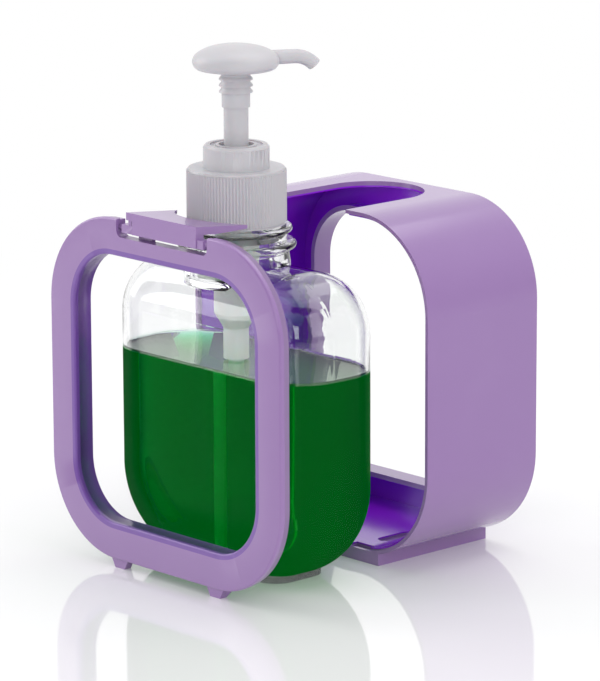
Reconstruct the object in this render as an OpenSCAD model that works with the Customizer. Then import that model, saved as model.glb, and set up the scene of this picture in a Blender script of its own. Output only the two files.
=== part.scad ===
// Hand soap pump bottle with its two-part open case, drawn apart as on a table.
// Millimetres. X runs across the case, Y from front to back, Z up from the table.
// The origin is on the table, on the axis of the bottle's neck.

/* [Case] */
// Width of the front frame and of the rear sleeve
case_w = 112; // [104:1:130]
// Height of the front frame and of the rear sleeve
case_h = 114; // [110:1:120]
// Outer corner radius of the case
case_r = 31; // [26:1:34]
// Width of the border round both windows
border = 12.2; // [11:0.2:14]
// Height of the feet and of the plinth, which lift the case off the table
foot_h = 3; // [2.4:0.2:5]
// Edge rounding of the front frame's face
face_edge_r = 0.7; // [0.4:0.1:1]
// Distance from the frame's front face to the sleeve's front edge
drawn_back = 64; // [62:1:90]

/* [Front frame] */
// Thickness of the frame's face plate
face_t = 1.7; // [1.4:0.1:2.4]
// Depth of the frame's outer side, face plate and backing together
frame_t = 3.9; // [3.6:0.1:5]
// Depth of the collar round the window, from the front face
reveal = 7.4; // [6.6:0.2:9]
// Thickness of the collar round a window
reveal_t = 1.8; // [1.4:0.1:2.4]
// Step between the face plate's edge and the backing
edge_step = 0.35; // [0.2:0.05:0.6]
// Half width of the notch in the top border
notch_half_w = 22; // [20:0.5:24]
// Depth of the notch in the top border
notch_depth = 5.8; // [5:0.2:7]
// Corner radius at the bottom of the notch
notch_r = 2.2; // [1:0.2:3]
// Distance of a foot from the middle of the frame
foot_x = 23.5; // [18:0.5:25]
// Width of a foot at its top
foot_top_w = 12.4; // [10:0.2:14]
// Width of a foot at the table
foot_low_w = 8; // [6:0.2:10]

/* [Collar tongue] */
// Half width of the tongue's plate
tongue_half_w = 17; // [15:0.5:18]
// Thickness of the tongue's plate
tongue_t = 2.5; // [2:0.1:3.5]
// Height of the tongue's top above the frame's top
tongue_rise = 2.9; // [2:0.1:4]
// Radius of the half round cut that goes round the neck
collar_r = 20; // [19.8:0.1:21]
// Radius of the two hinge pins
pin_r = 0.9; // [0.7:0.05:1]
// Radial running clearance of a hinge pin
pin_fit = 0.06; // [0.03:0.01:0.1]

/* [Rear sleeve] */
// Depth of the sleeve from front to back
sleeve_depth = 50.5; // [48:0.5:70]
// Thickness of the sleeve's wall
sleeve_wall = 2; // [1.6:0.1:2.8]
// Gap between the frame's spigot and the sleeve's wall
spigot_gap = 0.4; // [0.2:0.1:0.8]
// Half width of the slot for the bottle's neck
slot_half_w = 17.6; // [17:0.2:19]
// Half width of the plinth under the sleeve
plinth_half_w = 33; // [28:1:36]
// Thickness of the wall at the back
back_t = 2.2; // [1.8:0.1:3]

/* [Bottle] */
// Width of the bottle
bottle_w = 94.4; // [90:0.2:98]
// Depth of the bottle from front to back
bottle_d = 43; // [41:0.5:44]
// Height of the bottle's flat top under the shoulder cone
bottle_top = 101.5; // [98:0.5:102]
// Radius of the bottle's lower corners seen from the front
low_corner_r = 31; // [24:1:34]
// Radius of the bottle's upper corners seen from the front
top_corner_r = 20; // [19.6:0.2:22]
// Wall thickness of the bottle
bottle_wall = 1.3; // [1:0.1:1.8]
// Distance of the neck's axis behind the frame's front face
neck_y = 32.4; // [31:0.1:34]
// Distance of the bottle's middle behind the neck's axis
bottle_setback = 3.1; // [0:0.1:4]
// Height of the liquid's surface
liquid_level = 69.4; // [30:0.5:80]

/* [Closure and pump] */
// Outer radius of the ribbed cap
cap_r = 16.2; // [15.8:0.1:16.6]
// Height of the cap's lower edge
cap_low = 114.7; // [114.5:0.1:115.4]
// Height of the cap
cap_h = 18.1; // [17:0.1:19]
// Number of ribs round the cap
cap_ribs = 96; // [60:2:120]
// Depth of a rib
rib_depth = 0.4; // [0.2:0.05:0.5]
// Outer radius of the bottle's neck inside the cap
neck_r = 13.2; // [12.8:0.1:13.6]
// Radial play between the neck and the cap's bore
neck_fit = 0.08; // [0.04:0.01:0.1]
// Outer radius of the pump's collar
chaplet_r = 10.75; // [10.4:0.05:11.4]
// Height of the pump's collar above the cap
chaplet_h = 7.6; // [7:0.1:9]
// Radius of the pump's stem
stem_r = 4; // [3.7:0.05:4.2]
// Radial running clearance of the stem in its guide
stem_fit = 0.06; // [0.03:0.01:0.1]
// Radius of the pump chamber's bore
bore_r = 6; // [5.6:0.05:6.3]
// Radial running clearance of the piston in the bore
piston_fit = 0.04; // [0.02:0.01:0.08]
// Outer radius of the dip tube
tube_r = 2.6; // [2.3:0.05:2.8]
// Gap left between pressed parts that share a body
press_gap = 0.02; // [0.01:0.01:0.04]
// Coils of the return spring
spring_coils = 7; // [5:1:9]
// Radius of the spring's wire
wire_r = 0.45; // [0.35:0.05:0.5]

/* [Pump head] */
// Radius of the head's disc
head_r = 14; // [12.5:0.1:15]
// Thickness of the head's disc
head_t = 9.8; // [9:0.1:11]
// Height of the middle of the disc
head_z = 167.9; // [167:0.1:172]
// Direction of the nozzle, turned from across towards the back
nozzle_turn = 65; // [0:5:350]
// Distance of the nozzle's bend from the head's axis
nozzle_reach = 21.2; // [18:0.2:26]
// Bend radius of the nozzle
nozzle_bend_r = 6; // [5:0.2:8]
// Angle of the nozzle's bend
nozzle_bend = 50; // [35:5:80]

/* [Hidden] */
$fn = 96;
e = 0.01;
face_y = -neck_y;
sleeve_y = face_y + drawn_back;
case_mid_z = foot_h + case_h / 2;
case_top = foot_h + case_h;
win_w = case_w - 2 * border;
win_h = case_h - 2 * border;
win_r = case_r - border;
slot_mid_y = neck_y - frame_t;
tray_top = foot_h + sleeve_wall;
tongue_top = case_top + tongue_rise;
notch_floor = case_top - notch_depth;
pin_z = notch_floor + 3.1;
pin_y = frame_t / 2;
cap_top = cap_low + cap_h;
cap_wall_t = 2;
flange_top = cap_top - cap_wall_t - press_gap;
flange_t = 1.3;
gasket_t = 1.2;
neck_top = flange_top - flange_t - gasket_t - 2 * press_gap;
neck_bore_r = neck_r - 2.6;
barrel_r = 8.4;
chaplet_top = cap_top + chaplet_h;
rim_r = 17.5;
rim_lap = 1.5;
stroke = 16;
stem_low = 112;
spring_low = 86;
spring_top = 110.4;
ball_r = 2.6;
ball_seat_z = 80.6;
ball_z = ball_seat_z - 0.6 + 2.04;

front_frame();
collar_tongue();
rear_sleeve();
bottle();
liquid_soap();
closure_cap();
neck_gasket();
pump_collar();
pump_head();
pump_stem();
pump_piston();
piston_plug();
return_spring();
pump_housing();
inlet_ball();
ball_cage();
dip_tube();

// Helpers

// Stands a drawing up: its X stays, its Y becomes Z and its Z becomes depth.
module upright(y, z) {
    translate([0, y, z])
        mirror([0, 1, 0])
            rotate([90, 0, 0])
                children();
}

module round_rect(w, h, r) {
    square([w, h - 2 * r], center = true);
    square([w - 2 * r, h], center = true);
    for (sx = [-1, 1])
        for (sy = [-1, 1])
            translate([sx * (w / 2 - r), sy * (h / 2 - r)])
                circle(r);
}

// Sweeps a section round a rounded rectangle. The section's X is outward from
// the outline and its Y is depth.
module sweep_round_rect(w, h, r) {
    for (i = [0 : 3]) {
        sx = i == 0 || i == 3 ? 1 : -1;
        sy = i < 2 ? 1 : -1;
        translate([sx * (w / 2 - r), sy * (h / 2 - r), 0])
            rotate([0, 0, 90 * i])
                rotate_extrude(angle = 90)
                    translate([r, 0])
                        children();
    }
    for (i = [0 : 3]) {
        far = i % 2 == 0 ? w / 2 : h / 2;
        run = i % 2 == 0 ? h - 2 * r : w - 2 * r;
        rotate([0, 0, 90 * i])
            translate([far, run / 2, 0])
                rotate([90, 0, 0])
                    linear_extrude(run)
                        children();
    }
}

module ring(r_out, r_in, z, h) {
    translate([0, 0, z])
        difference() {
            cylinder(r = r_out, h = h);
            translate([0, 0, -1])
                cylinder(r = r_in, h = h + 2);
        }
}

// Front frame: face plate, set back backing, collar round the window, spigot
// that enters the sleeve, hinge notch and two tapered feet.
module frame_section() {
    translate([-border, 0]) {
        translate([face_edge_r, 0])
            square([border - 2 * face_edge_r, face_t]);
        translate([0, face_edge_r])
            square([border, face_t - face_edge_r]);
        translate([face_edge_r, face_edge_r])
            circle(face_edge_r);
        translate([border - face_edge_r, face_edge_r])
            circle(face_edge_r);
    }
    translate([-border + edge_step, face_t - e])
        square([border - 2 * edge_step, frame_t - face_t + e]);
    translate([-border + edge_step, frame_t - e])
        square([reveal_t, reveal - frame_t + e]);
    translate([-sleeve_wall - spigot_gap - 1.6, frame_t - e])
        square([1.6, 2]);
}

module foot() {
    upright(face_y + 0.9, 0)
        linear_extrude(frame_t - 1.2)
            polygon([
                [-foot_low_w / 2, 0], [foot_low_w / 2, 0],
                [foot_top_w / 2, foot_h + 0.6], [-foot_top_w / 2, foot_h + 0.6]
            ]);
}

module frame_notch() {
    w = 2 * notch_half_w;
    upright(face_y - 1, notch_floor)
        linear_extrude(reveal + 3) {
            translate([-w / 2, notch_r])
                square([w, notch_depth + 6 - notch_r]);
            translate([-w / 2 + notch_r, 0])
                square([w - 2 * notch_r, notch_depth + 6]);
            translate([-w / 2 + notch_r, notch_r])
                circle(notch_r);
            translate([w / 2 - notch_r, notch_r])
                circle(notch_r);
        }
}

module hinge_bores() {
    translate([0, face_y + pin_y, pin_z])
        rotate([0, 90, 0])
            cylinder(r = pin_r + pin_fit, h = 2 * notch_half_w + 5, center = true);
}

module front_frame() {
    color("plum")
        difference() {
            union() {
                upright(face_y, case_mid_z)
                    sweep_round_rect(case_w, case_h, case_r)
                        frame_section();
                translate([foot_x, 0, 0])
                    foot();
                translate([-foot_x, 0, 0])
                    foot();
            }
            frame_notch();
            hinge_bores();
        }
}

// Collar tongue: front bar on two hinge pins, flat plate with a half round cut
// whose horns reach round the neck, and a hook that snaps behind the border.
module tongue_plate() {
    difference() {
        translate([-tongue_half_w, face_y, tongue_top - tongue_t])
            cube([2 * tongue_half_w, neck_y - 9.6, tongue_t]);
        translate([0, 0, tongue_top - tongue_t - 1])
            cylinder(r = collar_r, h = tongue_t + 2);
        translate([-tongue_half_w - 1, face_y + 9, tongue_top - tongue_t])
            rotate([6, 0, 0])
                translate([0, 0, -3])
                    cube([2 * tongue_half_w + 2, 20, 3]);
    }
}

module collar_tongue() {
    bar_low = notch_floor + 1.7;
    color("orchid") {
        tongue_plate();
        translate([-14.2, face_y, bar_low])
            cube([31, frame_t - 0.6, tongue_top - tongue_t - bar_low + e]);
        translate([-notch_half_w + 2.4, face_y + 0.3, bar_low])
            cube([2 * notch_half_w - 4.4, frame_t - 0.9, 2.8]);
        translate([-16.6, face_y + 0.6, bar_low])
            cube([1.5, frame_t - 1.6, tongue_top - tongue_t - bar_low + e]);
        translate([0, face_y + pin_y, pin_z])
            rotate([0, 90, 0])
                cylinder(r = pin_r, h = 2 * notch_half_w + 3.6, center = true);
        translate([-15, face_y + frame_t + 0.5, notch_floor - 1.6])
            cube([6.6, 1.4, tongue_top - tongue_t - notch_floor + 1.6 + e]);
        translate([-15, face_y + frame_t - 0.4, tongue_top - tongue_t - 1.4])
            cube([6.6, 2.2, 1.4 + e]);
    }
}

// Rear sleeve: rounded square tube with a neck slot open at the front, a back
// wall with a see-through window and its collar, and a plinth underneath.
module sleeve_section() {
    d = sleeve_depth;
    translate([-sleeve_wall, 1.6])
        square([sleeve_wall, d - 1.6 - 0.8]);
    translate([-sleeve_wall + 0.8, 0])
        square([sleeve_wall - 0.8, 1.6 + e]);
    translate([-sleeve_wall, d - 0.8 - e])
        square([sleeve_wall - 0.8, 0.8 + e]);
    translate([-0.8, d - 0.8])
        circle(0.8);
    translate([-border, d - back_t])
        square([border - sleeve_wall + e, back_t]);
    translate([-border, d - reveal])
        square([reveal_t, reveal]);
}

module neck_slot() {
    translate([0, sleeve_y + slot_mid_y, case_top - sleeve_wall - 8]) {
        cylinder(r = slot_half_w, h = 12);
        translate([-slot_half_w, -slot_mid_y - 2, 0])
            cube([2 * slot_half_w, slot_mid_y + 2, 12]);
    }
}

module tray_slots() {
    for (s = [-1, 1]) {
        front_slot(s * foot_x, 1.2, 8.6, 2.4);
        translate([s * foot_x, sleeve_y + 17.5, 0])
            oval_recess();
    }
}

module front_slot(x, y, w, d) {
    translate([x - w / 2, sleeve_y + y, foot_h + 0.4])
        cube([w, d, sleeve_wall + 1]);
}

module oval_recess() {
    translate([0, 0, foot_h + 0.8])
        for (sy = [-1, 1]) {
            translate([0, sy * 5, 0])
                cylinder(r = 2.6, h = 4);
            translate([-2.6, -5, 0])
                cube([5.2, 10, 4]);
        }
}

module rear_sleeve() {
    color("mediumpurple")
        difference() {
            union() {
                upright(sleeve_y, case_mid_z)
                    sweep_round_rect(case_w, case_h, case_r)
                        sleeve_section();
                intersection() {
                    translate([-plinth_half_w, sleeve_y, 0])
                        cube([2 * plinth_half_w, sleeve_depth - 0.6, case_r]);
                    upright(sleeve_y, 0)
                        linear_extrude(sleeve_depth)
                            difference() {
                                translate([-plinth_half_w, 0])
                                    square([2 * plinth_half_w, foot_h + 3]);
                                translate([0, case_mid_z])
                                    round_rect(case_w - 1, case_h - 1, case_r - 0.5);
                            }
                }
            }
            neck_slot();
            tray_slots();
        }
}

// Bottle: soft flat flask. Its outline seen from the front is four corner arcs
// joined by their tangents, and one rim section is swept round all of it.
bottle_half_w = bottle_w / 2;
top_z = bottle_top - top_corner_r;
top_x = bottle_half_w - top_corner_r;
low_x = bottle_half_w - low_corner_r;

module rim_section(inset) {
    half_d = bottle_d / 2;
    side_y = half_d - rim_r;
    for (m = [0, 1])
        mirror([0, m])
            intersection() {
                translate([0, side_y])
                    circle(rim_r - inset);
                translate([0, side_y])
                    square(rim_r + 5);
            }
    translate([0, -side_y])
        square([rim_r - inset, 2 * side_y]);
    translate([-rim_lap, -half_d + inset])
        square([rim_lap, 2 * (half_d - inset)]);
}

module corner_arc(x, z, r, from_a, inset) {
    translate([x, z, 0])
        rotate([0, 0, from_a])
            rotate_extrude(angle = 90)
                translate([r - rim_r, 0])
                    rim_section(inset);
}

// A straight run whose outside faces the direction out_a and which starts at
// the given point of the outline.
module straight_rim(x, z, out_a, run, inset) {
    translate([x, z, 0])
        rotate([0, 0, out_a])
            translate([-rim_r, run, 0])
                rotate([90, 0, 0])
                    linear_extrude(run)
                        rim_section(inset);
}

// The flat middle, a little larger than the hole inside the swept rim.
module core_outline() {
    r_low = low_corner_r - rim_r - 0.2;
    r_top = top_corner_r - rim_r - 0.1;
    right = concat(
        [for (t = [-90 : 22.5 : 0])
            [low_x + r_low * cos(t), low_corner_r + r_low * sin(t)]],
        [for (t = [0 : 45 : 90])
            [top_x + r_top * cos(t), top_z + r_top * sin(t)]]
    );
    n = len(right);
    polygon(concat(right, [for (i = [0 : n - 1]) [-right[n - 1 - i][0], right[n - 1 - i][1]]]));
}

module flask(inset) {
    upright(bottle_setback, 0) {
        for (m = [0, 1])
            mirror([m, 0, 0]) {
                corner_arc(low_x, low_corner_r, low_corner_r, -90, inset);
                corner_arc(top_x, top_z, top_corner_r, 0, inset);
                straight_rim(bottle_half_w, low_corner_r, 0, top_z - low_corner_r, inset);
            }
        straight_rim(-low_x, 0, -90, 2 * low_x, inset);
        straight_rim(top_x, bottle_top, 90, 2 * top_x, inset);
        translate([0, 0, -bottle_d / 2 + inset])
            linear_extrude(bottle_d - 2 * inset)
                core_outline();
    }
}

module neck_outside() {
    translate([0, 0, bottle_top - 6])
        cylinder(r = 17.4, h = 6.6);
    translate([0, 0, bottle_top + 0.6 - e])
        cylinder(r1 = 17.4, r2 = 16.9, h = 3.4);
    translate([0, 0, bottle_top])
        cylinder(r = 16.2, h = cap_low - 0.5 - bottle_top);
    translate([0, 0, 106.6])
        rounded_disc(19.3, 2.4);
    translate([0, 0, 111.9])
        rounded_disc(18, 2.2);
    translate([0, 0, bottle_top])
        cylinder(r = neck_r, h = neck_top - bottle_top);
}

module base_pad() {
    translate([0, bottle_setback, 0])
        linear_extrude(4)
            round_rect(55, 25, 8);
}

module rounded_disc(r, t) {
    cylinder(r = r - t / 2, h = t);
    translate([0, 0, t / 2])
        rotate_extrude()
            translate([r - t / 2, 0])
                circle(t / 2, $fn = 32);
}

module bottle() {
    color("whitesmoke", 0.4)
        difference() {
            union() {
                flask(0);
                neck_outside();
                base_pad();
            }
            flask(bottle_wall);
            translate([0, 0, bottle_top - 3])
                cylinder(r = neck_bore_r, h = 60);
            translate([0, 0, bottle_top - 3])
                cylinder(r = 14.6, h = 11.2);
            translate([0, 0, bottle_top + 8.2 - e])
                cylinder(r1 = 14.6, r2 = neck_bore_r, h = 4);
        }
}

module liquid_soap() {
    color("green")
        difference() {
            intersection() {
                flask(bottle_wall + 0.05);
                translate([-60, -40, 0])
                    cube([120, 80, liquid_level]);
            }
            translate([0, 0, 3.4])
                cylinder(r = tube_r + 0.05, h = 80);
        }
}

// Closure
module cap_ring_shape() {
    n = cap_ribs;
    polygon([
        for (i = [0 : 2 * n - 1])
            (cap_r - (i % 2) * rib_depth) * [cos(180 * i / n), sin(180 * i / n)]
    ]);
}

module closure_cap() {
    color("white")
        difference() {
            union() {
                translate([0, 0, cap_low + 0.8])
                    linear_extrude(cap_h - 2.4)
                        cap_ring_shape();
                translate([0, 0, cap_low])
                    cylinder(r = cap_r - 0.25, h = 0.8 + e);
                translate([0, 0, cap_top - 1.6 - e])
                    cylinder(r1 = cap_r - 0.1, r2 = cap_r - 0.9, h = 1.6 + e);
            }
            translate([0, 0, cap_low - 1])
                cylinder(r = neck_r + neck_fit, h = cap_h + 1 - cap_wall_t);
            translate([0, 0, cap_low])
                cylinder(r = barrel_r + 0.25, h = cap_h + 2);
        }
}

module neck_gasket() {
    color("gainsboro")
        ring(neck_r - 0.1, barrel_r + 0.15, neck_top + press_gap, gasket_t);
}

module pump_collar() {
    top = chaplet_top;
    color("white")
        difference() {
            union() {
                translate([0, 0, cap_top + press_gap])
                    cylinder(r = chaplet_r, h = chaplet_h - 0.9);
                translate([0, 0, top - 0.9 - e])
                    cylinder(r1 = chaplet_r, r2 = chaplet_r - 0.7, h = 0.9 + e - press_gap);
            }
            translate([0, 0, cap_top - 1])
                cylinder(r = barrel_r + press_gap, h = chaplet_h - 2);
            translate([0, 0, cap_top])
                cylinder(r = 5.7, h = chaplet_h + 2);
            translate([0, 0, top - 1.3])
                difference() {
                    cylinder(r = 8.6, h = 3);
                    cylinder(r = 6.7, h = 3);
                }
        }
}

module pump_housing() {
    low_r = bore_r + 1.2;
    color("ivory")
        difference() {
            union() {
                translate([0, 0, flange_top - flange_t])
                    cylinder(r = neck_r - 0.1, h = flange_t);
                translate([0, 0, flange_top - 6])
                    cylinder(r = barrel_r, h = chaplet_h + 4.4);
                translate([0, 0, flange_top - 9])
                    cylinder(r1 = low_r, r2 = barrel_r, h = 3 + e);
                translate([0, 0, spring_low - 1])
                    cylinder(r = low_r, h = flange_top - 9 - spring_low + 1 + e);
                translate([0, 0, spring_low - 6])
                    cylinder(r1 = 4.2, r2 = low_r, h = 5 + e);
                translate([0, 0, 70])
                    cylinder(r = 4.2, h = spring_low - 6 - 70 + e);
            }
            translate([0, 0, spring_low])
                cylinder(r = bore_r, h = flange_top - 3 - spring_low);
            translate([0, 0, flange_top - 4])
                cylinder(r = stem_r + stem_fit, h = 30);
            translate([0, 0, ball_seat_z + 1])
                cylinder(r = ball_r + 0.5, h = spring_low - ball_seat_z);
            translate([0, 0, ball_seat_z - 0.6])
                cylinder(r1 = 1.7, r2 = ball_r + 0.5, h = 1.6 + e);
            translate([0, 0, 69])
                cylinder(r = 1.7, h = 14);
            translate([0, 0, 69])
                cylinder(r = tube_r + press_gap, h = 9);
            translate([0, 0, flange_top + 1])
                cylinder(r = 5.7, h = 20);
        }
}

module ball_cage() {
    color("ivory")
        difference() {
            translate([0, 0, spring_low + press_gap])
                cylinder(r = bore_r - press_gap, h = 1);
            for (i = [0 : 3])
                rotate([0, 0, 90 * i])
                    translate([2.2, 0, spring_low - 1])
                        cylinder(r = 0.8, h = 4);
        }
}

module inlet_ball() {
    color("silver")
        translate([0, 0, ball_z])
            sphere(ball_r);
}

module dip_tube() {
    color("ivory")
        ring(tube_r, tube_r - 0.8, 4, 73.9);
}

module pump_stem() {
    color("white")
        ring(stem_r, 1.9, stem_low, head_z - 3.4 - stem_low);
}

module pump_piston() {
    color("ivory")
        difference() {
            union() {
                translate([0, 0, stem_low + 1])
                    cylinder(r = bore_r - piston_fit - 0.5, h = 6);
                translate([0, 0, stem_low + 1])
                    cylinder(r = bore_r - piston_fit, h = 1.2);
                translate([0, 0, stem_low + 5.8])
                    cylinder(r = bore_r - piston_fit, h = 1.2);
            }
            translate([0, 0, stem_low])
                cylinder(r = stem_r + press_gap, h = 9);
        }
}

module piston_plug() {
    color("ivory")
        {
            translate([0, 0, spring_top + 0.1])
                cylinder(r = 5.2, h = stem_low - spring_top - 0.1 - press_gap);
            translate([0, 0, stem_low - press_gap - e])
                cylinder(r = 1.9 - press_gap, h = 3);
            translate([0, 0, spring_top - 1.4])
                cylinder(r = 3.6, h = 1.5 + e);
        }
}

// Return spring: a round wire wound with one closed coil at each end.
module return_spring() {
    mean_r = 4.8;
    per_turn = 15;
    sides = 6;
    steps = per_turn * spring_coils;
    low = spring_low + 1 + 2 * press_gap + wire_r + 0.05;
    high = spring_top - wire_r;
    closed = 2 * wire_r + 0.12;
    open_pitch = (high - low - 2 * closed) / (spring_coils - 2);
    function height(turn) =
        turn < 1 ? low + closed * turn
        : turn > spring_coils - 1 ? high - closed * (spring_coils - turn)
        : low + closed + open_pitch * (turn - 1);
    points = [for (i = [0 : steps]) for (k = [0 : sides - 1])
        let (a = 360 * i / per_turn, t = 360 * k / sides, r = mean_r + wire_r * cos(t))
            [r * cos(a), r * sin(a), height(i / per_turn) + wire_r * sin(t)]];
    walls = [for (i = [0 : steps - 1]) for (k = [0 : sides - 1])
        let (p = i * sides + k, q = i * sides + (k + 1) % sides)
            each [[p, q, q + sides], [p, q + sides, p + sides]]];
    first_end = [[for (k = [sides - 1 : -1 : 0]) k]];
    last_end = [[for (k = [0 : sides - 1]) steps * sides + k]];
    color("silver")
        polyhedron(points, concat(first_end, walls, last_end), convexity = 20);
}

// Pump head: domed disc, bent nozzle with its channel, skirt with lock threads.
module head_disc() {
    a = head_r;
    c = head_t / 2;
    translate([0, 0, head_z])
        rotate_extrude()
            polygon(concat(
                [[0, -c]],
                [for (t = [-80 : 8 : 80])
                    [a * pow(cos(t), 0.82), c * sign(t) * pow(abs(sin(t)), 0.9)]],
                [[0, c]]
            ));
}

module nozzle_solid(r_base, r_tip, start) {
    run = nozzle_reach - start;
    rotate([0, 0, nozzle_turn])
        translate([0, 0, head_z + 0.4]) {
            translate([start, 0, 0])
                rotate([0, 90, 0])
                    cylinder(r1 = r_base, r2 = r_tip, h = run);
            translate([nozzle_reach, 0, -nozzle_bend_r])
                rotate([90, 0, 0])
                    rotate([0, 0, 90 - nozzle_bend])
                        rotate_extrude(angle = nozzle_bend)
                            translate([nozzle_bend_r, 0])
                                circle(r_tip);
            translate([nozzle_reach, 0, -nozzle_bend_r])
                rotate([0, nozzle_bend, 0])
                    translate([0, 0, nozzle_bend_r])
                        rotate([0, 90, 0])
                            cylinder(r = r_tip, h = 1.2);
        }
}

module head_skirt() {
    skirt_low = chaplet_top + 12.1;
    translate([0, 0, skirt_low])
        cylinder(r = 4.6, h = head_z - skirt_low);
    for (i = [0 : 2])
        translate([0, 0, skirt_low + 4.2 + i * 2.4])
            cylinder(r1 = 5.45, r2 = 4.9, h = 1.5);
    translate([0, 0, head_z - 6.6])
        cylinder(r1 = 4.9, r2 = 7.4, h = 3);
}

module pump_head() {
    color("white")
        difference() {
            union() {
                head_disc();
                head_skirt();
                nozzle_solid(2.7, 2, 6);
            }
            translate([0, 0, chaplet_top + 10])
                cylinder(r = stem_r + press_gap, h = head_z - 3.3 - chaplet_top - 10);
            translate([0, 0, chaplet_top + 10])
                cylinder(r = 1.6, h = head_z + 1.6 - chaplet_top - 10);
            nozzle_solid(1.3, 1.2, 0);
            rotate([0, 0, nozzle_turn])
                translate([nozzle_reach, 0, head_z + 0.4 - nozzle_bend_r])
                    rotate([0, nozzle_bend, 0])
                        translate([1, 0, nozzle_bend_r])
                            rotate([0, 90, 0])
                                cylinder(r = 1.2, h = 3);
        }
}
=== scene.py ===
# %% [markdown]
# A hand soap pump bottle stands between the two halves of its lilac case.
# The CAD model already holds every rigid piece at its real size, so this
# lesson dresses it: the camera, the light, the plastics, the clear bottle
# with its soap, and the few forms that are easier to model here.
# Everything is in metres, with the origin on the table under the neck.

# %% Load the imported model
import math

import bmesh
import bpy
from mathutils import Matrix, Vector


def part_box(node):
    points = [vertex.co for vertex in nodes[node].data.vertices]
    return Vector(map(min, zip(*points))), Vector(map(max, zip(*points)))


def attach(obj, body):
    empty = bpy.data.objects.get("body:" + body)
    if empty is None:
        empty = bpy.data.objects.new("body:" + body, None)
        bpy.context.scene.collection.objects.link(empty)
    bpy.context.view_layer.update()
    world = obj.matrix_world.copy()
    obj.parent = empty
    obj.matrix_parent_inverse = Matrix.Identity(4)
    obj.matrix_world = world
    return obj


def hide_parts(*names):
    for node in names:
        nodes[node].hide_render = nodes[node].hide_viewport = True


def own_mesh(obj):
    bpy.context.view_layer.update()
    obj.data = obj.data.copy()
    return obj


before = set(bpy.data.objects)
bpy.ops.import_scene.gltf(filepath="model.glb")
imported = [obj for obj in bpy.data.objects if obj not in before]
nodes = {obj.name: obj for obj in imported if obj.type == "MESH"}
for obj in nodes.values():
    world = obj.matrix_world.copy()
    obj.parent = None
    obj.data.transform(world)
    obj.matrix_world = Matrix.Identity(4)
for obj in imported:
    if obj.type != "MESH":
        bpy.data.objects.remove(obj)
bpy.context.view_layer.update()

scene = bpy.context.scene


def mm(*values):
    """Millimetres to metres, one number or a tuple."""
    metres = tuple(v / 1000 for v in values)
    return metres[0] if len(metres) == 1 else metres


# %% [markdown]
# The photograph was taken from the right of the front, a little above the
# bottle, through a long lens. Its view was fitted to the outlines of both
# case halves. The lens in millimetres follows from the focal length in
# pixels and from the picture's long side, because Blender measures the
# sensor along that side.

# %% Camera
VIEW_YAW, VIEW_PITCH, VIEW_ROLL = (math.radians(a) for a in (47.38, 12.82, -0.23))
VIEW_DISTANCE = 1.3145
AIM = Vector(mm(65.1, -32.4, 91.3))
PICTURE_HEIGHT, FOCAL_PIXELS = 681, 4266.8

forward = Vector((
    -math.sin(VIEW_YAW) * math.cos(VIEW_PITCH),
    math.cos(VIEW_YAW) * math.cos(VIEW_PITCH),
    -math.sin(VIEW_PITCH),
))
level_right = Vector((math.cos(VIEW_YAW), math.sin(VIEW_YAW), 0))
level_up = level_right.cross(forward)
right = math.cos(VIEW_ROLL) * level_right + math.sin(VIEW_ROLL) * level_up
up = math.cos(VIEW_ROLL) * level_up - math.sin(VIEW_ROLL) * level_right

lens = bpy.data.cameras.new("product_view")
lens.sensor_width = 36
lens.lens = FOCAL_PIXELS * 36 / PICTURE_HEIGHT
lens.clip_start, lens.clip_end = 0.05, 50
camera = bpy.data.objects.new("product_view", lens)
scene.collection.objects.link(camera)
camera.matrix_world = Matrix.Translation(AIM - forward * VIEW_DISTANCE) @ Matrix((
    (right.x, up.x, -forward.x),
    (right.y, up.y, -forward.y),
    (right.z, up.z, -forward.z),
)).to_4x4()
scene.camera = camera
print("lens", round(lens.lens, 1), "mm at", round(VIEW_DISTANCE, 3), "m")

# %% [markdown]
# Every finish below is a node material. Writing node links one by one hides
# the idea of a pattern, so one small class wraps a socket: sums and products
# of sockets then read like plain maths and add their own Math nodes. One
# method makes any other node.

# %% A socket that can be added and multiplied


class Signal:
    """A number that changes over a surface, as one output socket of a node."""

    def __init__(self, finish, socket):
        self.finish, self.socket = finish, socket

    def _math(self, operation, *values):
        return self.finish.node("ShaderNodeMath", {"operation": operation}, *values)

    def __add__(self, other):
        return self._math("ADD", self, other)

    def __sub__(self, other):
        return self._math("SUBTRACT", self, other)

    def __rsub__(self, other):
        return self._math("SUBTRACT", other, self)

    def __mul__(self, other):
        return self._math("MULTIPLY", self, other)

    def __truediv__(self, other):
        return self._math("DIVIDE", self, other)

    def __pow__(self, other):
        return self._math("POWER", self, other)

    def __abs__(self):
        return self._math("ABSOLUTE", self)

    __radd__, __rmul__ = __add__, __mul__

    def most(self, other):
        return self._math("MAXIMUM", self, other)

    def least(self, other):
        return self._math("MINIMUM", self, other)

    def ramp(self, low, high):
        """0 below low, 1 above high and smooth between them."""
        return self.finish.node(
            "ShaderNodeMapRange", {"interpolation_type": "SMOOTHSTEP"}, self, low, high)


# %% A finish: one material and the method that makes its nodes


class Nodes:
    """A node tree and the one method that adds to it."""

    def __init__(self, tree):
        self.tree = tree

    def node(self, kind, settings=None, *values, out=0, **named):
        """Adds a node, sets its options, then sets or links its sockets."""
        made = self.tree.nodes.new(kind)
        for key, value in (settings or {}).items():
            setattr(made, key, value)
        sockets = [*enumerate(values), *((k.replace("_", " "), v) for k, v in named.items())]
        for key, value in sockets:
            if isinstance(value, Signal):
                self.tree.links.new(value.socket, made.inputs[key])
            elif value is not None:
                made.inputs[key].default_value = value
        return Signal(self, made.outputs[out])


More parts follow.
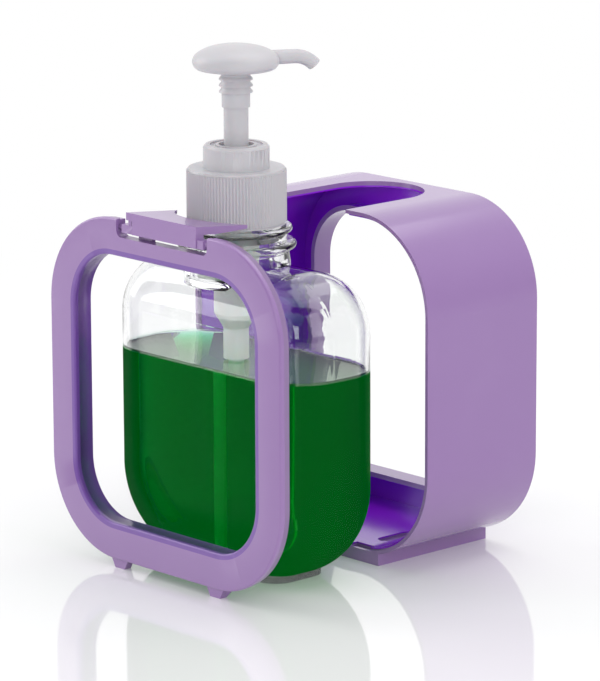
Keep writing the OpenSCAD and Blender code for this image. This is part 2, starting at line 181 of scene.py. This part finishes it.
class Finish(Nodes):
    """A material with one Principled shader, and the nodes that feed it."""

    def __init__(self, name, **fixed):
        self.material = bpy.data.materials.new(name)
        self.material.use_nodes = True
        super().__init__(self.material.node_tree)
        self.shader = self.tree.nodes["Principled BSDF"]
        self.output = self.tree.nodes["Material Output"]
        for socket, value in fixed.items():
            self.shader.inputs[socket.replace("_", " ")].default_value = value

    def set(self, **signals):
        """Links signals to the shader's own sockets."""
        for key, value in signals.items():
            self.tree.links.new(value.socket, self.shader.inputs[key.replace("_", " ")])
        return self

    def place(self):
        """The point on the piece, in metres from the origin on the table."""
        return self.node("ShaderNodeTexCoord", out="Object")

    def axes(self):
        """The same point as three signals."""
        split = self.node("ShaderNodeSeparateXYZ", None, self.place())
        return [Signal(self, split.socket.node.outputs[i]) for i in range(3)]

    def noise(self, size, detail=2.0, roughness=0.5, vector=None):
        """Noise from 0 to 1 whose blotches are about that size in metres."""
        return self.node("ShaderNodeTexNoise", None, Vector=vector or self.place(),
                         Scale=1 / size, Detail=detail, Roughness=roughness)

    def mix(self, share, low, high):
        """A colour between two colours, each a tuple or a signal."""
        made = self.tree.nodes.new("ShaderNodeMix")
        made.data_type = "RGBA"
        for socket, value in ((made.inputs[0], share), (made.inputs[6], low), (made.inputs[7], high)):
            if isinstance(value, Signal):
                self.tree.links.new(value.socket, socket)
            else:
                socket.default_value = value
        return Signal(self, made.outputs[2])

    def relief(self, height, depth):
        """Bump of that depth in metres, linked to the shader's normal."""
        self.set(Normal=self.node("ShaderNodeBump", None, Height=height, Distance=depth,
                                  Strength=1.0))
        return self


def colour(r, g, b, level=1.0):
    """A linear colour from the 0 to 255 numbers that a picture shows."""
    def linear(v):
        v /= 255
        return v / 12.92 if v <= 0.04045 else ((v + 0.055) / 1.055) ** 2.4
    return (*(min(1.0, level * linear(v)) for v in (r, g, b)), 1.0)


def dress(finish, *names):
    """Gives a finish to CAD nodes, by their names."""
    for name in names:
        slots = nodes[name].data.materials
        slots.clear()
        slots.append(finish.material)
    print(finish.material.name, "on", ", ".join(names))


# %% [markdown]
# The case is moulded in lilac plastic with a satin gloss. Such a skin isn't
# one flat colour: the pigment drifts a little, and the mould leaves a fine
# grain that breaks up the reflections. The inside of the sleeve and the
# window's reveal in the frame lie in shade, and that shade is painted into
# the colour. A mask picks these places out: the distance to the rounded
# outline of the case is worked out from X and Z, as a designer would draw
# it. Y then leaves the outside of the sleeve's back in the light colour.

# %% Lilac plastic
CASE_HALF = mm(56, 57)
CASE_MIDDLE, CASE_CORNER = mm(60), mm(31)
CASE_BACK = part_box("rear_sleeve")[1][1]


def outline_distance(finish):
    """Distance to the outline of the case, negative inside."""
    x, _, z = finish.axes()
    past_x = abs(x) - (CASE_HALF[0] - CASE_CORNER)
    past_z = abs(z - CASE_MIDDLE) - (CASE_HALF[1] - CASE_CORNER)
    corner = (past_x.most(0) ** 2 + past_z.most(0) ** 2) ** 0.5
    return corner + past_x.most(past_z).least(0) - CASE_CORNER


def lilac(name, outside, inside, gloss, first, last):
    """Case plastic with painted shade mixed in on its inside, between two depths under the outline.
    """
    finish = Finish(name, IOR=1.49, Coat_Weight=0.5, Coat_Roughness=0.12)
    drift = finish.noise(0.045, 2)
    grain = finish.noise(0.0007, 3, 0.6)
    depth = 0 - outline_distance(finish)
    _, y, _ = finish.axes()
    # Painted shade: the inside colour goes where these masks are one.
    within = depth.ramp(first - mm(0.15), first) * (1 - depth.ramp(last - mm(0.15), last))
    painted_shade_mask = within * (1 - y.ramp(CASE_BACK - mm(1.2), CASE_BACK - mm(1)))
    shade = finish.mix(painted_shade_mask, outside, inside)
    paler = finish.mix(drift.ramp(0.35, 0.75) * 0.05, shade, (0.62, 0.48, 0.74, 1))
    finish.set(Base_Color=paler, Roughness=gloss + drift * 0.06 + grain * 0.03)
    return finish.relief(grain, 0.000003)


LILAC = colour(151, 116, 174)
# These two colours are painted shade: the first in the frame's window reveal, the second inside the
# sleeve.
SHADED = colour(112, 66, 160)
DEEP_SHADE = colour(146, 12, 222)
front_lilac = lilac("lilac_front", LILAC, SHADED, 0.30, mm(10.4), mm(30))
sleeve_lilac = lilac("lilac_sleeve", LILAC, DEEP_SHADE, 0.16, mm(1.55), mm(10.6))
dress(front_lilac, "front_frame", "collar_tongue")
dress(sleeve_lilac, "rear_sleeve")

# %% [markdown]
# The closure and the pump head are white polypropylene. Light goes a little
# way into it, which softens the shade under the ribs, so the shader has some
# subsurface scattering besides its satin skin.

# %% White closure plastic


def white_plastic(name, tint, gloss, depth):
    finish = Finish(name, IOR=1.49, Subsurface_Weight=depth, Subsurface_Scale=0.002)
    flow = finish.noise(0.012, 3)
    grain = finish.noise(0.0005, 3, 0.6)
    finish.set(
        Base_Color=finish.mix(flow.ramp(0.3, 0.8), tint, tuple(c * 0.965 for c in tint[:3]) + (1,)),
        Roughness=gloss + flow * 0.08 + grain * 0.05)
    return finish.relief(grain, 0.000008)


closure_white = white_plastic("white_closure", colour(200, 198, 203), 0.26, 0.12)
dress(closure_white, "closure_cap", "pump_collar", "pump_head", "pump_stem")
natural = white_plastic("natural_pump", colour(214, 218, 216), 0.34, 0.3)
dress(natural, "pump_housing", "pump_piston", "piston_plug", "ball_cage", "dip_tube")
liner = white_plastic("foam_liner", colour(222, 222, 218), 0.8, 0.0)
dress(liner, "neck_gasket")

# %% Spring steel
steel = Finish("spring_steel", Metallic=1.0)
drawn = steel.noise(0.0006, 3)
steel.set(Base_Color=steel.mix(drawn, (0.55, 0.55, 0.57, 1), (0.72, 0.72, 0.74, 1)),
          Roughness=0.22 + drawn * 0.2)
dress(steel, "return_spring", "inlet_ball")

# %% [markdown]
# The bottle is blown from clear plastic and the soap wets its wall. A
# renderer bends light at each surface as if air were behind it, so a soap
# body that merely touches the wall looks like frosted silver. Three measures
# give the real path of the light. The soap's body reaches a little into the
# wall, its side bends light by the ratio of soap to plastic, and the wall's
# inner face is see-through where it is wet. The wall is told apart by the
# distance to the bottle's outside, again worked out from the place. Over the
# soap the outer face bends light but reflects almost none, because the dark
# soap would show each reflection as a grey veil, which the real one lacks.

# %% Distance to the outside of the flask
FLASK_HALF, FLASK_TOP, FLASK_BACK = mm(47.2), mm(101.5), mm(3.1)
FLASK_LOW_CORNER, FLASK_TOP_CORNER, FLASK_RIM = mm(31), mm(20), mm(17.5)
FLASK_HALF_DEPTH, FLASK_WALL, SOAP_LEVEL = mm(21.5), mm(1.3), mm(69.4)


def flask_distance(finish):
    """Distance to the outside of the flask, negative in the wall and inside."""
    x, y, z = finish.axes()
    upper = z.ramp(mm(55), mm(56))
    corner = FLASK_LOW_CORNER - upper * (FLASK_LOW_CORNER - FLASK_TOP_CORNER)
    past_x = abs(x) - (FLASK_HALF - corner)
    past_z = abs(z - FLASK_TOP / 2) - (FLASK_TOP / 2 - corner)
    outline = (past_x.most(0) ** 2 + past_z.most(0) ** 2) ** 0.5 \
        + past_x.most(past_z).least(0) - corner
    rim = outline + FLASK_RIM
    side = abs(y - FLASK_BACK) - (FLASK_HALF_DEPTH - FLASK_RIM)
    return (rim.most(0) ** 2 + side.most(0) ** 2) ** 0.5 \
        + rim.most(side).least(0) - FLASK_RIM


# %% Clear plastic


def blend_in(finish, share, base, kind, **values):
    """Mixes another shader over what is there, and returns the mix's output."""
    other = finish.tree.nodes.new(kind)
    for socket, value in values.items():
        other.inputs[socket.replace("_", " ")].default_value = value
    either = finish.tree.nodes.new("ShaderNodeMixShader")
    finish.tree.links.new(share.socket, either.inputs[0])
    finish.tree.links.new(base, either.inputs[1])
    finish.tree.links.new(other.outputs[0], either.inputs[2])
    finish.tree.links.new(either.outputs[0], finish.output.inputs["Surface"])
    return either.outputs[0]


def lamps_pass(finish, base):
    """Lets the lamps shine through, so that a clear piece throws a light shadow."""
    shadow = finish.node("ShaderNodeLightPath", out="Is Shadow Ray")
    return blend_in(finish, shadow, base, "ShaderNodeBsdfTransparent",
                    Color=(0.95, 0.95, 0.96, 1))


glass = Finish("clear_bottle", IOR=1.5, Transmission_Weight=1.0, Roughness=0.0,
               Specular_IOR_Level=0.35)
wave = glass.noise(0.03, 2)
glass.set(Base_Color=glass.mix(wave, (0.985, 0.99, 0.992, 1), (0.97, 0.975, 0.98, 1)))
glass.relief(wave, 0.0003)
_, _, height = glass.axes()
below = 1 - height.ramp(SOAP_LEVEL, SOAP_LEVEL + mm(0.4))
inner_face = 1 - flask_distance(glass).ramp(-mm(0.9), -mm(0.6))
VEIL_LEFT_OUT = 0.97
outer_wall = blend_in(glass, below * (1 - inner_face) * VEIL_LEFT_OUT, glass.shader.outputs[0],
                      "ShaderNodeBsdfRefraction", Color=(0.97, 0.99, 0.98, 1), IOR=1.5)
seen_wall = blend_in(glass, below * inner_face, outer_wall, "ShaderNodeBsdfTransparent",
                     Color=(1, 1, 1, 1))
lamps_pass(glass, seen_wall)
dress(glass, "bottle")

# %% [markdown]
# The soap's body starts as a block. Its corners and its rim are rounded with
# bevels of the flask's own radii, it is cut at the level of the filling, and
# its surface is stepped down from the wall in small insets. That gives the
# meniscus, the thin curved line where the soap climbs the wall.

# %% Edit mode helpers


def start(name):
    """Names the new object and opens it in edit mode with nothing selected."""
    piece = bpy.context.object
    piece.name = piece.data.name = name
    bpy.ops.object.transform_apply(location=True, rotation=True, scale=True)
    bpy.ops.object.mode_set(mode="EDIT")
    bpy.ops.mesh.select_all(action="DESELECT")
    return piece


def pick(piece, kind, test):
    """Selects the vertices, edges or faces whose middle and direction pass a test."""
    bpy.ops.mesh.select_all(action="DESELECT")
    bpy.ops.mesh.select_mode(type=kind)
    shape = bmesh.from_edit_mesh(piece.data)
    found = 0
    for item in {"VERT": shape.verts, "EDGE": shape.edges, "FACE": shape.faces}[kind]:
        corners = [item] if kind == "VERT" else item.verts
        middle = sum((v.co for v in corners), Vector()) / len(corners)
        along = (corners[1].co - corners[0].co).normalized() if kind == "EDGE" else item.normal
        if test(middle, along):
            item.select_set(True)
            found += 1
    shape.select_flush_mode()
    bmesh.update_edit_mesh(piece.data)
    return found


# %% Soap body
OVERLAP = mm(0.12)
inset = FLASK_WALL - OVERLAP
low, high = inset, FLASK_TOP - inset
bpy.ops.object.select_all(action="DESELECT")
bpy.ops.mesh.primitive_cube_add(size=1, location=(0, FLASK_BACK, (low + high) / 2))
bpy.context.object.scale = (2 * (FLASK_HALF - inset), 2 * (FLASK_HALF_DEPTH - inset), high - low)
soap_body = start("soap_filling")
pick(soap_body, "EDGE", lambda m, d: abs(d.y) > 0.9 and m.z < mm(50))
bpy.ops.mesh.bevel(offset=FLASK_LOW_CORNER - inset, segments=40, affect="EDGES")
pick(soap_body, "EDGE", lambda m, d: abs(d.y) > 0.9 and m.z > high - 0.0001)
bpy.ops.mesh.bevel(offset=FLASK_TOP_CORNER - inset, segments=8, affect="EDGES")
outline_edges = pick(soap_body, "EDGE", lambda m, d: abs(d.y) < 0.1
                     and abs(abs(m.y - FLASK_BACK) - (FLASK_HALF_DEPTH - inset)) < 1e-5)
bpy.ops.mesh.bevel(offset=FLASK_RIM - inset, segments=20, affect="EDGES")
print("rim rounded along", outline_edges, "edges")

# %% Soap surface with its meniscus
CLIMB = mm(0.9)
bpy.ops.mesh.select_all(action="SELECT")
bpy.ops.mesh.bisect(plane_co=(0, 0, SOAP_LEVEL + CLIMB), plane_no=(0, 0, 1), use_fill=True,
                    clear_outer=True)
pick(soap_body, "FACE", lambda m, d: d.z > 0.99 and m.z > SOAP_LEVEL)
for inward, down in ((0.25, 0.42), (0.35, 0.26), (0.5, 0.14), (0.8, 0.08)):
    bpy.ops.mesh.inset(thickness=mm(inward), depth=0)
    bpy.ops.transform.translate(value=(0, 0, -mm(down)))
bpy.ops.object.mode_set(mode="OBJECT")
bpy.ops.object.shade_smooth_by_angle(angle=math.radians(40))
print("soap body", len(soap_body.data.polygons), "faces")

# %% [markdown]
# The soap is a clear green liquid. A volume that swallows red and blue more
# than green gives what the real one shows: deep green through the whole
# width, and bright green where the light's way through it is short. A faint
# green glow in the volume is painted light, which keeps the soap's body
# green whatever lies behind it. The soap's surface bends light as a liquid
# in air, and its side as a liquid in plastic.

# %% Green soap
soap = Finish("green_soap", IOR=0.907, Transmission_Weight=1.0, Roughness=0.0)
cloud = soap.noise(0.02, 2)
soap.set(Base_Color=soap.mix(cloud, (0.97, 1.0, 0.98, 1), (0.94, 0.99, 0.95, 1)))
_, _, height = soap.axes()
surface = blend_in(soap, height.ramp(SOAP_LEVEL - mm(0.1), SOAP_LEVEL), soap.shader.outputs[0],
                   "ShaderNodeBsdfPrincipled", IOR=1.36, Transmission_Weight=1.0, Roughness=0.0,
                   Base_Color=(0.96, 1.0, 0.97, 1))
lamps_pass(soap, surface)
SWALLOWED, PAINTED_GLOW = 260, 4.2
swallow = soap.node("ShaderNodeVolumeAbsorption", None, (0.0, 0.84, 0.55, 1), SWALLOWED)
# The emission is painted light, not a lamp.
painted_glow = soap.node("ShaderNodeEmission", None, (0.0, 1.0, 0.16, 1), PAINTED_GLOW)
both = soap.node("ShaderNodeAddShader", None, swallow, painted_glow)
soap.tree.links.new(both.socket, soap.output.inputs["Volume"])
soap_body.data.materials.append(soap.material)
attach(soap_body, "bottle")
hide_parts("liquid_soap")

# %% [markdown]
# The pump head is a flat dome with a soft lower rim, on a skirt with three
# lock ridges, and a spout that bends down. A round body is easy to draw as
# rings: a disc is extruded upwards ring by ring, and each ring is scaled to
# the radius of the profile at that height.

# %% Rings of the pump head
HEAD_LOW, SKIRT_LOW, HEAD_RADIUS = mm(164.6, 152.5, 14)
RIM_HEIGHT, DOME_HEIGHT, RIM_CORNER = mm(2.6, 5.6, 2.4)
profile = [(mm(4.6), SKIRT_LOW)]
for ridge in range(3):
    foot = SKIRT_LOW + mm(4.6 + 2.05 * ridge)
    profile += [(mm(4.6), foot), (mm(5.5), foot + mm(0.15)), (mm(5.4), foot + mm(0.6)),
                (mm(4.75), foot + mm(1.35))]
profile += [(mm(4.75), HEAD_LOW - mm(1.1)), (mm(5.9), HEAD_LOW)]
for step in range(0, 90, 10):
    turn = math.radians(step)
    profile.append((HEAD_RADIUS - RIM_CORNER * (1 - math.sin(turn)),
                    HEAD_LOW + RIM_HEIGHT * (1 - math.cos(turn)) + mm(0.01)))
for step in range(0, 90, 5):
    turn = math.radians(step)
    profile.append((HEAD_RADIUS * math.cos(turn) ** 0.95,
                    HEAD_LOW + RIM_HEIGHT + DOME_HEIGHT * math.sin(turn) ** 0.97))


def stack(rings):
    """Extrudes the selected disc upwards through rings of (radius, height)."""
    for (radius, height), (wider, higher) in zip(rings, rings[1:]):
        bpy.ops.mesh.extrude_region_move(
            TRANSFORM_OT_translate={"value": (0, 0, higher - height)})
        ratio = wider / radius
        bpy.ops.transform.resize(value=(ratio, ratio, 1), center_override=(0, 0, higher))


bpy.ops.object.select_all(action="DESELECT")
bpy.ops.mesh.primitive_circle_add(vertices=96, radius=profile[0][0], fill_type="NGON",
                                  location=(0, 0, profile[0][1]))
pump_top = start("pump_top")
bpy.ops.mesh.select_all(action="SELECT")
stack(profile)
pick(pump_top, "FACE", lambda m, d: abs(m.z - SKIRT_LOW) < 1e-5)
bpy.ops.mesh.inset(thickness=mm(0.55), depth=0)
bpy.ops.mesh.extrude_region_move(TRANSFORM_OT_translate={"value": (0, 0, mm(11))})
bpy.ops.mesh.select_all(action="SELECT")
bpy.ops.mesh.normals_make_consistent(inside=False)
print("pump head of", len(profile), "rings")

# %% Spout
SPOUT_HEIGHT, SPOUT_START, SPOUT_REACH, SPOUT_BEND_RADIUS = mm(167.8, 7, 19.7, 9)
SPOUT_BEND, SPOUT_TURN, SPOUT_STEPS = math.radians(48), math.radians(65), 12
BEND_CENTRE = (SPOUT_REACH, 0, SPOUT_HEIGHT - SPOUT_BEND_RADIUS)


def bend_on(steps, turn):
    """Extrudes the selected face in small turns about the centre of the bend."""
    for _ in range(steps):
        bpy.ops.mesh.extrude_region_move(TRANSFORM_OT_translate={"value": (0, 0, 0)})
        bpy.ops.transform.rotate(value=turn, orient_axis="Y", center_override=BEND_CENTRE)


bpy.ops.object.mode_set(mode="OBJECT")
bpy.ops.object.select_all(action="DESELECT")
bpy.ops.mesh.primitive_circle_add(vertices=40, radius=mm(2.45), fill_type="NGON",
                                  location=(SPOUT_START, 0, SPOUT_HEIGHT),
                                  rotation=(0, math.pi / 2, 0))
spout = start("spout")
bpy.ops.mesh.select_all(action="SELECT")
bpy.ops.mesh.extrude_region_move(
    TRANSFORM_OT_translate={"value": (SPOUT_REACH - SPOUT_START, 0, 0)})
bpy.ops.transform.resize(value=(1, 0.94, 0.94), center_override=(SPOUT_REACH, 0, SPOUT_HEIGHT))
bend_on(SPOUT_STEPS, -SPOUT_BEND / SPOUT_STEPS)
bpy.ops.mesh.inset(thickness=mm(0.95), depth=0)
bend_on(4, SPOUT_BEND / SPOUT_STEPS)
bpy.ops.mesh.select_all(action="SELECT")
bpy.ops.transform.rotate(value=-SPOUT_TURN, orient_axis="Z", center_override=(0, 0, 0))
bpy.ops.mesh.normals_make_consistent(inside=False)
bpy.ops.object.mode_set(mode="OBJECT")
tip = min((v.co for v in spout.data.vertices), key=lambda co: co.z)
print("spout tip at", [round(1000 * c, 1) for c in tip], "mm")

# %% Join the spout to the head
bpy.ops.object.select_all(action="DESELECT")
pump_top.select_set(True)
bpy.context.view_layer.objects.active = pump_top
union = pump_top.modifiers.new("with_spout", "BOOLEAN")
union.operation, union.solver, union.object = "UNION", "EXACT", spout
bpy.ops.object.modifier_apply(modifier=union.name)
bpy.data.objects.remove(spout)
bpy.ops.object.shade_smooth_by_angle(angle=math.radians(35))
pump_top.data.materials.append(closure_white.material)
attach(pump_top, "pump_head")
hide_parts("pump_head")
print("pump top", len(pump_top.data.polygons), "faces")

# %% [markdown]
# Four more pieces keep the CAD model's form and change it in one place. The
# closure's ribs run almost up to its top, the pump's collar has a shallower
# recess, the tongue falls towards its horns, and the frame stands on narrow
# feet. Each starts as a copy of the CAD mesh whose loose triangles are
# merged, and then only the vertices in that place are moved.

# %% Copy of a CAD node, open in edit mode


def reshape(node, name):
    """Copies a node's mesh, merges its triangles and opens it in edit mode."""
    bpy.ops.object.select_all(action="DESELECT")
    piece = bpy.data.objects.new(name, nodes[node].data.copy())
    scene.collection.objects.link(piece)
    piece.data.name = name
    piece.select_set(True)
    bpy.context.view_layer.objects.active = piece
    bpy.ops.object.mode_set(mode="EDIT")
    bpy.ops.mesh.select_all(action="SELECT")
    bpy.ops.mesh.remove_doubles(threshold=1e-6)
    return piece


def put_back(piece, node, body):
    """Closes edit mode and lets the piece stand for its node."""
    bpy.ops.object.mode_set(mode="OBJECT")
    bpy.ops.object.shade_smooth_by_angle(angle=math.radians(9))
    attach(piece, body)
    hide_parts(node)
    print(piece.name, len(piece.data.polygons), "faces stand for", node)


# %% Closure with ribs up to its top
CAP_TOP, CAP_RADIUS, RIBS_BELOW_TOP, RIBS_RISE = mm(132.8, 16.2, 1.6, 0.9)
RIM_WIDER = 1.018
closure = reshape("closure_cap", "ribbed_closure")
rib_tops = pick(closure, "VERT", lambda m, d: abs(m.z - CAP_TOP + RIBS_BELOW_TOP) < mm(0.1))
bpy.ops.transform.translate(value=(0, 0, RIBS_RISE))
pick(closure, "VERT", lambda m, d: m.z > CAP_TOP - mm(0.05)
     and m.xy.length > CAP_RADIUS - mm(1.2))
bpy.ops.transform.resize(value=(RIM_WIDER, RIM_WIDER, 1), center_override=(0, 0, CAP_TOP))
print(rib_tops, "vertices on the rib tops")
put_back(closure, "closure_cap", "closure_cap")

# %% Pump collar with a shallow recess
COLLAR_TOP, RECESS_DEPTH, RECESS_RISE = mm(140.4, 1.3, 0.75)
pump_guide = reshape("pump_collar", "pump_guide")
pick(pump_guide, "VERT", lambda m, d: abs(m.z - COLLAR_TOP + RECESS_DEPTH) < mm(0.1))
bpy.ops.transform.translate(value=(0, 0, RECESS_RISE))
put_back(pump_guide, "pump_collar", "pump_unit")

# %% Tongue that falls towards its horns
FACE_Y, BAR_DEPTH, HORNS_Y, TONGUE_TOP = mm(-32.4, 4.1, -12, 119.9)
TONGUE_SLOPE = math.radians(5.8)
tongue = reshape("collar_tongue", "sloped_tongue")


def horn_height(piece):
    """The lowest point of the horns, in millimetres."""
    return round(1000 * min(v.co.z for v in piece.data.vertices if v.co.y > HORNS_Y), 1)


horn_before = horn_height(tongue)
moved = pick(tongue, "VERT", lambda m, d: m.y > FACE_Y + BAR_DEPTH
             or m.z > TONGUE_TOP - mm(0.1))
bpy.ops.transform.rotate(value=TONGUE_SLOPE, orient_axis="X",
                         center_override=(0, FACE_Y, TONGUE_TOP))
put_back(tongue, "collar_tongue", "collar_tongue")
print(moved, "vertices; horns go from", horn_before, "to", horn_height(tongue), "mm")

# %% Frame on narrow feet
FOOT_X, FOOT_HALF, FOOT_FRONT, FOOT_BACK = mm(23.5, 6.5, -31.6, -28.7)
SOLE, ROOT = (*mm(-0.1, 0.1), 0.58), (*mm(2.5, 3.5), 0.69)
frame_piece = reshape("front_frame", "frame_on_feet")
for side in (-FOOT_X, FOOT_X):
    for low, high, ratio in (SOLE, ROOT):
        found = pick(frame_piece, "VERT", lambda m, d: low < m.z < high
                     and abs(m.x - side) < FOOT_HALF and FOOT_FRONT < m.y < FOOT_BACK)
        bpy.ops.transform.resize(value=(ratio, 1, 1), center_override=(side, 0, 0))
        print("foot at", round(1000 * side, 1), "moved", found, "vertices")
put_back(frame_piece, "front_frame", "front_frame")

# %% [markdown]
# The return spring gets shorter as the head goes down, and it stands on the
# housing. Here it is a copy of the CAD mesh with its triangles merged,
# attached to the pump unit, and the length that the stroke leaves it is printed.

# %% Spring copied from the CAD model
SPRING_FOOT, SPRING_HEAD, STROKE = mm(87.02, 110.4, 16)
coil = reshape("return_spring", "coil_spring")
put_back(coil, "return_spring", "pump_unit")
1 - STROKE / (SPRING_HEAD - SPRING_FOOT)
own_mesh(coil)
print("pressed spring", round(1000 * (SPRING_HEAD - SPRING_FOOT - STROKE), 1), "mm long")

# %% [markdown]
# The studio: a white glossy table that runs far back, a white world, and
# large soft lamps. The camera sees the world at a strength of 1, which is
# white, and the lamps give the shapes their shade. A photographer keeps the
# room in front of the product dark, so that its reflection doesn't wash out
# the colours, and here reflections find the world dark on that side too.

# %% Table
bpy.ops.object.select_all(action="DESELECT")
bpy.ops.mesh.primitive_plane_add(size=6, location=(0, 0, 0))
table = bpy.context.object
table.name = "white_table"
board = Finish("white_table", IOR=1.75, Emission_Color=(1, 1, 1, 1), Emission_Strength=0.06)
clouds = board.noise(0.5, 2)
board.set(Base_Color=board.mix(clouds, (0.90, 0.90, 0.905, 1), (0.92, 0.92, 0.925, 1)),
          Roughness=0.05 + clouds * 0.02)
x, y, _ = board.axes()
away = ((x ** 2 + (y - 0.03) ** 2) ** 0.5).ramp(0.16, 0.5)
sees = board.node("ShaderNodeLightPath", out="Is Camera Ray")
sees_through = board.node("ShaderNodeLightPath", out="Is Transmission Ray")
blend_in(board, away * sees.most(sees_through), board.shader.outputs[0], "ShaderNodeEmission",
         Color=(1, 1, 1, 1), Strength=1.0)
table.data.materials.append(board.material)
print("table", [round(v, 2) for v in table.dimensions])

# %% World and lamps
world = bpy.data.worlds.new("white_studio")
scene.world = world
world.use_nodes = True
sky = Nodes(world.node_tree)
background = sky.tree.nodes["Background"]
background.inputs["Color"].default_value = (1, 1, 1, 1)
heading = sky.node("ShaderNodeTexCoord", out="Generated")
DARK_SIDE = (0.74, -0.68, 0)
DARKNESS, DIFFUSE_LOSS = 0.9, 0.38
ahead = sky.node("ShaderNodeVectorMath", {"operation": "DOT_PRODUCT"}, heading, DARK_SIDE,
                 out="Value")
hidden = 1 - sky.node("ShaderNodeLightPath", out="Is Camera Ray")
soft = sky.node("ShaderNodeLightPath", out="Is Diffuse Ray")
strength = 1 - hidden * ahead.ramp(-0.2, 0.5) * (1 - soft) * DARKNESS - soft * DIFFUSE_LOSS
sky.tree.links.new(strength.socket, background.inputs["Strength"])


def lamp(name, place, size, watts, aim=(0.0, 0.02, 0.07), tint=(1, 1, 1)):
    data = bpy.data.lights.new(name, "AREA")
    data.shape = "RECTANGLE"
    data.size, data.size_y = size
    data.energy, data.color = watts, tint
    made = bpy.data.objects.new(name, data)
    scene.collection.objects.link(made)
    made.location = place
    made.rotation_euler = (Vector(aim) - Vector(place)).to_track_quat("-Z", "Y").to_euler()
    print(name, watts, "W from", [round(v, 2) for v in place])


lamp("top_softbox", (0.1, 0.35, 1.1), (1.2, 0.9), 4)
lamp("left_softbox", (-1.0, -0.5, 0.6), (0.8, 1.0), 5)
lamp("right_softbox", (1.2, 0.1, 0.7), (0.7, 1.0), 3)
lamp("front_fill", (0.9, -1.1, 0.55), (0.6, 0.6), 4)

# %% Picture settings
scene.view_settings.view_transform = "Standard"
